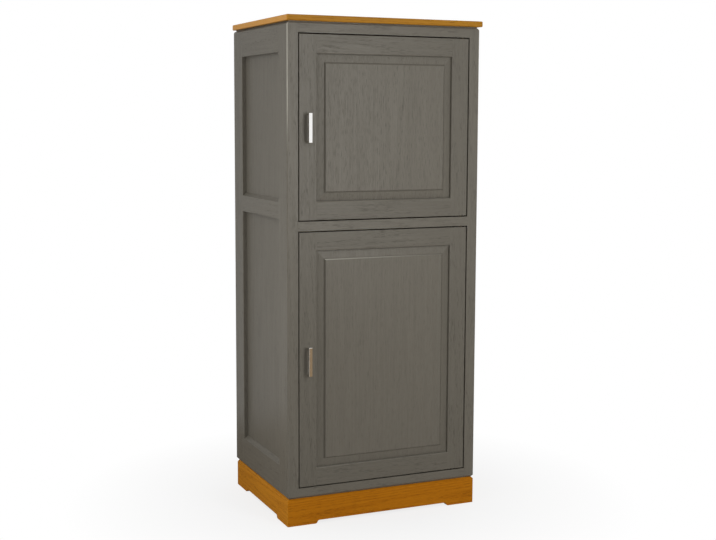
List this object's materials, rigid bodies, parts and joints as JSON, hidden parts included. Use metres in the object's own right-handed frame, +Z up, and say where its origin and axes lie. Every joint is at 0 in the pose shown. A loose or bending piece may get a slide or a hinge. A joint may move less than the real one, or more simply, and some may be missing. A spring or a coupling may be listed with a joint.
{
  "type": "highboard",
  "caption": "Tall free-standing cupboard with a small door above a tall one, raised panels, bow handles, a wooden top board and a bracket-foot plinth.",
  "frame": {"origin": "on the floor, under the middle of the outline with the handles", "axes": "+X right along the front, +Y from the front to the back, +Z up"},
  "size_m": [0.76, 0.608, 1.802],
  "materials": {
    "painted_oak": "satin taupe paint over oak",
    "honey_oak": "honey stain and satin varnish",
    "inside_oak": "satin varnish on oak veneer",
    "polished_chrome": "polished",
    "zinc_steel": "zinc plated",
    "pivot_brass": "dark patina",
    "catch_plastic": "moulded brown"
  },
  "bodies": {
    "carcass": {"back_bottom_rail": "painted_oak", "back_panel": "inside_oak", "back_top_rail": "painted_oak", "divider_panel": "inside_oak", "floor_panel": "inside_oak", "frame_pivots": "pivot_brass", "front_bottom_rail": "painted_oak", "front_left_stile": "painted_oak", "front_middle_rail": "painted_oak", "front_right_stile": "painted_oak", "front_top_rail": "painted_oak", "hardware_screws": "zinc_steel", "left_back_stile": "painted_oak", "left_bottom_rail": "painted_oak", "left_front_stile": "painted_oak", "left_lower_panel": "painted_oak", "left_middle_rail": "painted_oak", "left_top_rail": "painted_oak", "left_upper_panel": "painted_oak", "lower_shelf_high": "inside_oak", "lower_shelf_low": "inside_oak", "magnetic_catches": "catch_plastic", "plinth_back": "honey_oak", "plinth_corner_blocks": "honey_oak", "plinth_front": "honey_oak", "plinth_left": "honey_oak", "plinth_right": "honey_oak", "right_back_stile": "painted_oak", "right_bottom_rail": "painted_oak", "right_front_stile": "painted_oak", "right_lower_panel": "painted_oak", "right_middle_rail": "painted_oak", "right_top_rail": "painted_oak", "right_upper_panel": "painted_oak", "roof_panel": "inside_oak", "shelf_pins": "zinc_steel", "top_board": "honey_oak", "top_board_screws": "zinc_steel", "upper_shelf": "inside_oak"},
    "upper_door": {"upper_door_bottom_rail": "painted_oak", "upper_door_handle": "polished_chrome", "upper_door_handle_screws": "zinc_steel", "upper_door_handle_stile": "painted_oak", "upper_door_hinge_stile": "painted_oak", "upper_door_panel": "painted_oak", "upper_door_pivot_leaves": "pivot_brass", "upper_door_screws": "zinc_steel", "upper_door_strike_plate": "zinc_steel", "upper_door_top_rail": "painted_oak"},
    "lower_door": {"lower_door_bottom_rail": "painted_oak", "lower_door_handle": "polished_chrome", "lower_door_handle_screws": "zinc_steel", "lower_door_handle_stile": "painted_oak", "lower_door_hinge_stile": "painted_oak", "lower_door_panel": "painted_oak", "lower_door_pivot_leaves": "pivot_brass", "lower_door_screws": "zinc_steel", "lower_door_strike_plate": "zinc_steel", "lower_door_top_rail": "painted_oak"}
  },
  "joints": [
    {"name": "upper_door_hinge", "type": "hinge", "parent": "carcass", "child": "upper_door", "pos_m": [0.31, -0.265, 1.41675], "axis": [0, 0, 1], "range_deg": [0, 110]},
    {"name": "lower_door_hinge", "type": "hinge", "parent": "carcass", "child": "lower_door", "pos_m": [0.31, -0.265, 0.59675], "axis": [0, 0, 1], "range_deg": [0, 110]}
  ]
}
